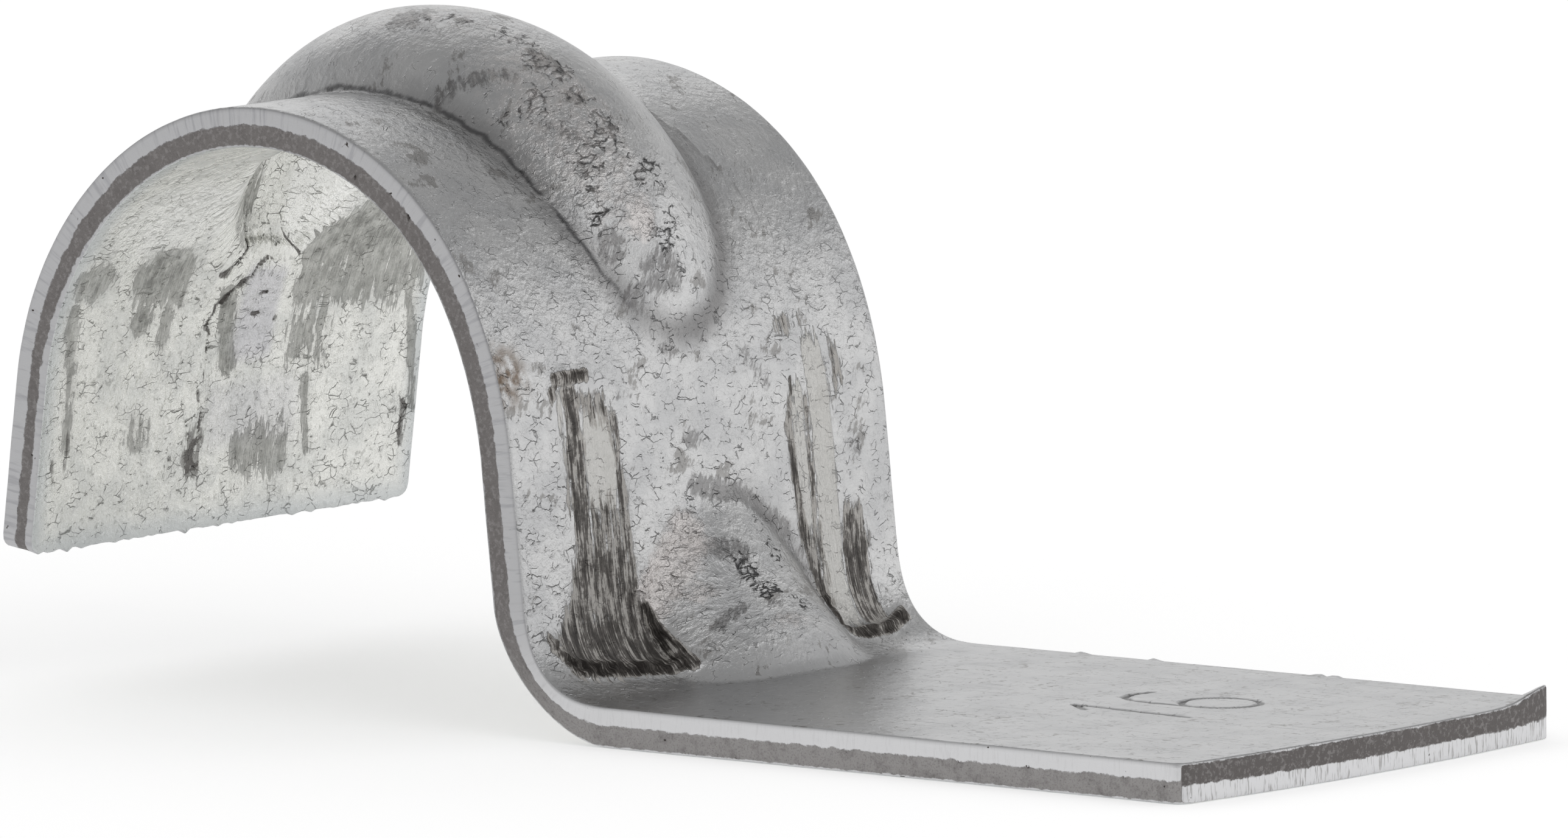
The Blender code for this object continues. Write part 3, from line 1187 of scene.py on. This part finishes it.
CRACKLE = crackle_group()
print("made", CRACKLE.name)

# %% [markdown]
# Everything that was dragged along the strip left streaks: long in the strip's direction and a
# tenth of a millimetre wide. The same streaks tear the borders of the painted marks, so a mark
# that is only as fine as the mesh ends in fine bristles. A third group has the soft blotches, the
# small dark specks, the striated patches and the slanted strokes in them.

# %% Streaks and mottle
def streak_group():
    given, results = new_group(
        "streaks",
        {"Vector": "Vector", "Mask": "Float"},
        {"Streaks": "Float", "Mask": "Float"},
    )
    place, mask = given["Vector"], given["Mask"]
    hairs = noise_at(stretched(place, 0.75, 0.07), 1.0, 4.0, 0.6)
    streaks = hairs * 0.6 + noise_at(place, 3.6, 4.0, 0.65) * 0.4
    border = noise_at(stretched(place, 1.1, 0.24), 1.0, 3.0) * 0.5 + streaks * 0.5
    ragged = step_up((border - 0.5) * 3.0 + mask, 0.36, 0.56)
    fill(results, {"Streaks": streaks, "Mask": step_up(mask, 0.04, 0.2) * ragged})
    return results.id_data


def mottle_group():
    names = ("Clouds", "Specks", "Patches", "Strokes")
    given, results = new_group("mottle", {"Vector": "Vector"}, dict.fromkeys(names, "Float"))
    place = given["Vector"]
    gather = noise_at(stretched(place, 1.0, 1.4), 0.9, 3.0)
    turn = {"Vector": place, "Angle": radians(35)}
    slant = out(place.tree, "VectorRotate", "Vector", turn, rotation_type="Z_AXIS")
    strokes = noise_at(stretched(slant, 0.42, 0.17), 1.0, 5.0, 0.72)
    masks = {
        "Clouds": noise_at(place, 0.55, 5.0),
        "Specks": step_up(gather * 0.55 + noise_at(place, 4.2, 3.0), 0.9, 0.97),
        "Patches": step_up((strokes - 0.5) * 0.5 + gather, 0.62, 0.68),
        "Strokes": strokes,
    }
    fill(results, masks)
    return results.id_data


STREAKS = streak_group()
MOTTLE = mottle_group()
print("made", STREAKS.name, "and", MOTTLE.name)

# %% [markdown]
# Each finish reads the notes and the painted marks from the piece, by their names. What it makes
# of them goes to the same four sockets of its material: colour, roughness, metal and, through a
# bump, the small relief that is finer than the mesh.

# %% Read the marks and set a finish
NOTED = {
    "strip": ("along", "across", "depth"),
    "crease": ("from_bead", "from_gusset"),
}


def read_marks(tree):
    """Every number of every note and every painted mark, as values by their names."""
    marks = {}
    for notes, output, split in (
        (NOTED, "Vector", "SeparateXYZ"),
        (PAINTED, "Color", "SeparateColor"),
    ):
        for name, parts in notes.items():
            marks[name] = out(tree, "Attribute", output, attribute_name=name)
            pieces = node(tree, split, {0: marks[name]}).outputs
            marks.update((part, Value(piece)) for part, piece in zip(parts, pieces))
    return marks


def finish(material, colour, rough, metal, height, relief):
    """Sets a material's four sockets. The relief is how far a height of one stands, in metres."""
    bump = {"Height": height, "Distance": relief, "Strength": 1.0}
    sockets = {
        "Base Color": colour,
        "Roughness": rough,
        "Metallic": metal,
        "Normal": out(material.node_tree, "Bump", "Normal", bump),
    }
    fill(material.node_tree.nodes["Principled BSDF"], sockets)
    print(material.name, "has", len(material.node_tree.nodes), "nodes")


print("marks by name:", *NOTED.values(), *PAINTED.values())

# %% [markdown]
# ## Marks that are finer than the mesh
#
# A painted mark says roughly where something is. These helpers say it finely: painted shade in
# the creases with a dark line along the bead, short black cracks that open across the strip,
# hair-fine bristles inside torn zinc, a rust stain a millimetre wide at the leg's near edge, and
# hair scratches along the foot.

# %% Fine marks
TORN_DARK = (0.072, 0.065, 0.060, 1.0)
TORN_BROWN = (0.19, 0.177, 0.165, 1.0)
TORN_LIGHT = (0.58, 0.56, 0.535, 1.0)
STAIN_PLACE = (31.6, -8.1, 0.0)
STAIN_FADES_MM = (0.3, 1.35)


def crease_shading(marks):
    """Painted shade: a dark line where the bead rises on the near side, and soft shade in each
    crease and on the gusset's far flank.
    """
    place, along, across = (marks[name] for name in ("strip", "along", "across"))
    wobble = noise_at(place, 1.2, 5.0, 0.6) * 0.44 - 0.22
    bead = abs(marks["from_bead"] + wobble)
    gusset = abs(marks["from_gusset"] + wobble)
    far = step_up(across, -1.5, 0.5)
    dark = step_down(bead, 0.01, 0.13) * (1.0 - most(far, step_up(along, 28.5, 31.0)))
    dark *= step_up(along, 12.0, 17.0)
    dark *= step_up(noise_at(place, 0.7, 4.0, 0.6), 0.3, 0.45)
    shade = step_down(bead, 0.05, 0.85) * (step_up(along, 17.0, 24.0) * 0.8 + 0.15)
    shade *= far * 0.45 + 1.0
    flank = step_down(gusset, 0.1, 0.9) * step_up(across, 0.5, 2.5)
    flank *= step_down(along, 39.5, 41.0)
    return dark, most(shade, flank * 0.8)


def craze_lines(place, mask):
    cells = stretched(warped(place, 2.4, (0.35, 0.5, 0.0)), 0.21, 0.46)
    chance = noise_at(place, 0.9, 2.0) * 0.5 + noise_at(place, 3.4, 3.0, 0.6) * 0.5
    pushed = mask * 0.18 + chance
    width = step_up(pushed, 0.6, 0.74) * 0.2 + 0.03
    lines = 1.0 - sums("SMOOTH_MIN", cell_border(cells) / width, 1.0, 0.3)
    return lines * step_up(pushed, 0.585, 0.68) * step_up(mask, 0.02, 0.2)


def fine_bristles(place):
    hairs = noise_at(stretched(place, 1.1, 0.06), 1.0, 4.0, 0.65)
    bundles = noise_at(stretched(place, 1.3, 0.26), 1.0, 3.0, 0.6)
    return hairs * 0.4 + bundles * 0.4 + noise_at(place, 4.5, 4.0, 0.7) * 0.2


def torn_zinc(place, bitten):
    """Dark, brown and light bristles, darker where the tool bit."""
    lighter = fine_bristles(place) + 0.13 - bitten * 0.17
    brown, light = step_up(lighter, 0.42, 0.5), step_up(lighter, 0.5, 0.54)
    return coats(TORN_DARK, (brown, TORN_BROWN), (light, TORN_LIGHT))


def stain_mask(place):
    away = out(place.tree, "VectorMath", "Value", {0: place, 1: STAIN_PLACE}, operation="DISTANCE")
    return step_down(away, *STAIN_FADES_MM) * step_up(noise_at(place, 2.6, 4.0), 0.3, 0.62)


def foot_scratches(place):
    return step_up(noise_at(stretched(place, 3.2, 0.07), 1.0, 1.0), 0.7, 0.76)


print("the stain is", STAIN_PLACE[0], "mm from the free end")

# %% [markdown]
# ## Zinc on the outside
#
# A mid grey metal with a dull sheen. From the bottom up: cloudy grey, small dark patches where the
# crystals show, the crackle's folds, the crazed zinc of the bead, dark clusters that are partly
# painted shade, painted shade in the creases, painted highlights on facets of the bead and the
# gusset, the smeared and the torn parts of the scrapes, and a rust stain by the near edge. The foot
# was pressed flat between tools, so it is smoother and mirrors the leg.

# %% Finish the outside
ZINC = (0.56, 0.56, 0.56, 1.0)
ZINC_CLOUD = (0.50, 0.502, 0.506, 1.0)
ZINC_FOOT = (0.47, 0.472, 0.478, 1.0)
ZINC_DARK = (0.215, 0.205, 0.195, 1.0)
ZINC_FOLD = (0.19, 0.188, 0.185, 1.0)
CRACK_AND_CREASE_SHADE_BLACK = (0.035, 0.034, 0.036, 1.0)
SHADE_AND_PATCH_GREY = (0.17, 0.165, 0.165, 1.0)
FIGURE_GREY = (0.11, 0.108, 0.108, 1.0)
SMEAR_CREAM = (0.70, 0.69, 0.665, 1.0)
PAINTED_HIGHLIGHT_PINK = (0.78, 0.735, 0.715, 1.0)
STAIN = (0.17, 0.13, 0.10, 1.0)
SKIN_METAL = 0.95
OUTSIDE_RELIEF = 0.0001
FOOT_STARTS_MM = (41.2, 42.6)


def finish_outside(material):
    marks = read_marks(material.node_tree)
    place = marks["strip"]
    foot = step_up(marks["along"], *FOOT_STARTS_MM)
    leg = 1.0 - foot
    mottle = use_group(MOTTLE, Vector=place)
    crackle = use_group(CRACKLE, Vector=place)
    drag = use_group(STREAKS, Vector=place, Mask=marks["torn"])
    smear = use_group(STREAKS, Vector=place, Mask=marks["smeared"])["Mask"]
    patches = mottle["Patches"] * (leg * 0.5 + 0.12)
    scratches = foot_scratches(place) * foot
    cracks = craze_lines(place, marks["crazed"])
    strokes = (mottle["Strokes"] - 0.5) * 2.2 + marks["dark"]
    dark_patches_and_shade = step_up(marks["dark"], 0.05, 0.4) * step_up(strokes, 0.4, 0.8)
    crease_shade_line, shade = crease_shading(marks)
    sparkle = (noise_at(place, 3.2, 4.0, 0.65) - 0.5) * 2.0 + marks["painted_highlight"]
    painted_highlight = marks["painted_highlight"] * step_up(sparkle, 0.15, 0.75)
    crumbs = noise_at(stretched(place, 0.5, 0.16), 1.0, 5.0, 0.7)
    lump = step_up((crumbs - 0.5) * 0.9 + marks["lump"], 0.42, 0.56)
    torn_colour = torn_zinc(place, most(marks["torn"], marks["lump"]))
    colour = coats(
        ZINC,
        (step_up(mottle["Clouds"], 0.42, 0.62), ZINC_CLOUD),
        (foot * 0.6, ZINC_FOOT),
        (patches, ZINC_DARK),
        (mottle["Specks"] * foot * 0.65, ZINC_DARK),
        (scratches * 0.5, ZINC_DARK),
        (crackle["Lines"] * (leg * 0.18 + 0.04), ZINC_FOLD),
        (cracks, CRACK_AND_CREASE_SHADE_BLACK),
        # dark clusters, partly painted shade along the gusset's far flank
        (dark_patches_and_shade * 0.74, SHADE_AND_PATCH_GREY),
        # painted shade in the creases of the bead and on the gusset's far flank
        (shade * 0.58, SHADE_AND_PATCH_GREY),
        # the painted shade's dark line along the bead's near crease
        (crease_shade_line * 0.72, CRACK_AND_CREASE_SHADE_BLACK),
        # painted highlights on facets of the bead and the gusset
        (painted_highlight * 0.8, PAINTED_HIGHLIGHT_PINK),
        (stain_mask(place), STAIN),
        (smear * 0.9, SMEAR_CREAM),
        (drag["Mask"] * 0.94, torn_colour),
        (lump, torn_colour),
        (step_up(marks["figure"], 0.15, 0.75) * 0.85, FIGURE_GREY),
    )
    rough = mottle["Clouds"] * 0.16 + foot * 0.03 + patches * 0.15 + 0.21
    rough += lump * 0.35 + drag["Mask"] * 0.35 + smear * 0.1
    height = crackle["Height"] * (painted_highlight * 1.5 - foot * 0.48 + 0.68) - cracks - scratches * 0.4
    height += drag["Streaks"] * most(drag["Mask"], smear) * 1.5 + lump * crumbs * 1.4
    finish(material, colour, rough, SKIN_METAL, height, OUTSIDE_RELIEF)


finish_outside(clip.data.materials[OUTSIDE])

# %% [markdown]
# ## Zinc on the pipe side
#
# This side never touched the weather or the die, so it is brighter and a little warm, with a
# strong crackle. The grey smears were brushed on along the strip. The last half millimetre along
# the edges is smooth where the shear pressed it down, with a bluish painted shade where the rounded
# edge turns from the light. A painted shadow darkens the near wall of the bead's hollow, and
# painted highlights brighten a wedge beside its end and the near side under the crown.

# %% Finish the pipe side
BRIGHT_ZINC = (0.79, 0.79, 0.755, 1.0)
BRIGHT_CLOUD = (0.69, 0.695, 0.67, 1.0)
SMEAR_AND_SHADE_GREY = (0.22, 0.22, 0.205, 1.0)
SMEAR_LIGHT = (0.58, 0.58, 0.555, 1.0)
PAINTED_HIGHLIGHT_WHITE = (0.93, 0.93, 0.905, 1.0)
RIM_SHADE_BLUE = (0.50, 0.525, 0.535, 1.0)
PUNCH_VIOLET = (0.56, 0.555, 0.585, 1.0)
FOLD_GREY = (0.24, 0.24, 0.22, 1.0)
PIPE_SIDE_RELIEF = 0.00011


def finish_pipe_side(material):
    marks = read_marks(material.node_tree)
    place = marks["strip"]
    mottle = use_group(MOTTLE, Vector=place)
    crackle = use_group(CRACKLE, Vector=place)
    drag = use_group(STREAKS, Vector=place, Mask=marks["dark"])
    rip = use_group(STREAKS, Vector=place, Mask=marks["torn"])["Mask"]
    bristles = step_up(fine_bristles(place), 0.47, 0.58)
    cloudy = step_up(noise_at(place, 1.9, 6.0, 0.7), 0.28, 0.66)
    smear = drag["Mask"] * 0.36 + marks["dark"] * cloudy * 0.62
    wall = step_up(marks["from_bead"], -1.5, -1.1) * step_down(marks["from_bead"], -0.2, -0.1)
    wall *= step_down(marks["across"], -1.0, 0.5) * (1.0 - bristles)
    chips = (noise_at(place, 3.2, 5.0, 0.7) - 0.5) * 2.2
    torn = most(rip * 0.7, step_up(chips + marks["torn"], 0.52, 0.7))
    torn *= step_up(marks["torn"], 0.15, 0.45)
    colour = coats(
        BRIGHT_ZINC,
        (step_up(mottle["Clouds"], 0.45, 0.65), BRIGHT_CLOUD),
        (mottle["Specks"] * 0.35, SMEAR_AND_SHADE_GREY),
        (crackle["Lines"] * 0.6, FOLD_GREY),
        # painted shade along the rounded edges
        (marks["edge"] * 0.7, RIM_SHADE_BLUE),
        # painted highlights on the wedge beside the hollow's end and under the crown
        (marks["painted_highlight"] * 0.97, PAINTED_HIGHLIGHT_WHITE),
        (marks["smeared"] * 0.7, PUNCH_VIOLET),
        (smear, tint(bristles * 0.6, SMEAR_AND_SHADE_GREY, SMEAR_LIGHT)),
        # painted shadow on the near wall of the bead's hollow
        (wall * 0.6, SMEAR_AND_SHADE_GREY),
        (torn * 0.9, TORN_DARK),
    )
    rough = (mottle["Clouds"] + drag["Mask"]) * 0.2 + 0.17
    height = crackle["Height"] * (marks["painted_highlight"] * 0.5 - marks["edge"] * 0.6 + 1.3)
    height += drag["Streaks"] * drag["Mask"] * 1.6
    finish(material, colour, rough, SKIN_METAL, height, PIPE_SIDE_RELIEF)


finish_pipe_side(clip.data.materials[PIPE_SIDE])

# %% [markdown]
# ## The sheared edge
#
# A shear cuts cleanly through the first half of a sheet and tears the rest. The blade also drags
# zinc over the clean half, so that half is pale and smooth with fine streaks across the sheet,
# and the torn half is bare, brown-grey, gritty steel with a ragged border. At the foot's end the
# blade came from the other side, so there the two halves are swapped. Along the foot both halves
# are painted lighter, a painted light on the edges near the floor.

# %% Finish the sheared edge
EDGE_ZINC = (0.505, 0.505, 0.515, 1.0)
EDGE_ZINC_DULL = (0.42, 0.42, 0.435, 1.0)
EDGE_ZINC_PAINTED_LIGHT = (0.71, 0.71, 0.72, 1.0)
EDGE_STEEL_FLECK_AND_LIGHT = (0.42, 0.405, 0.40, 1.0)
EDGE_STEEL = (0.235, 0.22, 0.215, 1.0)
EDGE_STEEL_DARK = (0.15, 0.138, 0.134, 1.0)
EDGE_PIT = (0.05, 0.042, 0.038, 1.0)
BORDER_MM = 0.54
BORDER_SOFT_MM = 0.025
EDGE_RELIEF = 0.00003


def finish_edge(material):
    marks = read_marks(material.node_tree)
    place, depth = marks["strip"], marks["depth"]
    at_end = step_up(marks["end"], 0.4, 0.6)
    foot = step_up(marks["along"], 38.0, 42.0)
    from_blade = at_end * (SHEET_MM - depth - depth) + depth
    ragged = (noise_at(place, 2.6, 6.0, 0.72) - 0.5) * 0.3 + from_blade
    steel = step_up(ragged, BORDER_MM - BORDER_SOFT_MM, BORDER_MM + BORDER_SOFT_MM)
    inner_depth = step_down(marks["along"], 4.0, 14.0) * 0.22 + ragged
    steel *= step_down(inner_depth, SHEET_MM - 0.09, SHEET_MM - 0.04)

    streaks = noise_at(scaled(place, (7.0, 7.0, 0.7)), 1.0, 3.0)
    comb = noise_at(scaled(place, (14.0, 14.0, 1.6)), 1.0, 3.0, 0.6)
    ticks = step_up(comb, 0.52, 0.66) * (at_end * 0.75 + 0.12)
    zinc = coats(
        EDGE_ZINC,
        (step_up(streaks, 0.5, 0.68), EDGE_ZINC_DULL),
        # painted light: along the foot the zinc half is painted lighter
        (foot, EDGE_ZINC_PAINTED_LIGHT),
        (ticks * 0.7, EDGE_STEEL),
    )
    grit = noise_at(place, 16.0, 3.0, 0.7)
    rust = noise_at(place, 3.0, 5.0, 0.65)
    flecks = noise_at(place, 6.5, 3.0, 0.7)
    bare = coats(
        EDGE_STEEL,
        # painted light: along the foot the bare steel is painted lighter; the same colour makes the
        # flecks
        (foot, EDGE_STEEL_FLECK_AND_LIGHT),
        (at_end, EDGE_STEEL_DARK),
        (step_up(rust, 0.45, 0.7) * 0.45, EDGE_STEEL_DARK),
        (step_up(flecks, 0.5, 0.62) * 0.42, EDGE_STEEL_FLECK_AND_LIGHT),
        (step_up(grit, 0.5, 0.65) * 0.45, EDGE_STEEL_DARK),
    )
    pits = step_up(noise_at(place, 3.0, 2.0), 0.73, 0.77)
    colour = coats(zinc, (steel, bare), (pits, EDGE_PIT))
    rough, metal = steel * 0.2 + 0.45, 0.9 - steel * 0.45
    height = grit * (steel * 0.8 + 0.15) + streaks * 0.15
    finish(material, colour, rough, metal, height, EDGE_RELIEF)


finish_edge(clip.data.materials[SHEARED])

# %% [markdown]
# ## Hand it over
#
# The finished piece stands for the plain solid and rides on the part's one body.

# %% Ride, replace and finish
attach(clip, "root")
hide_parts("pipe_clip")
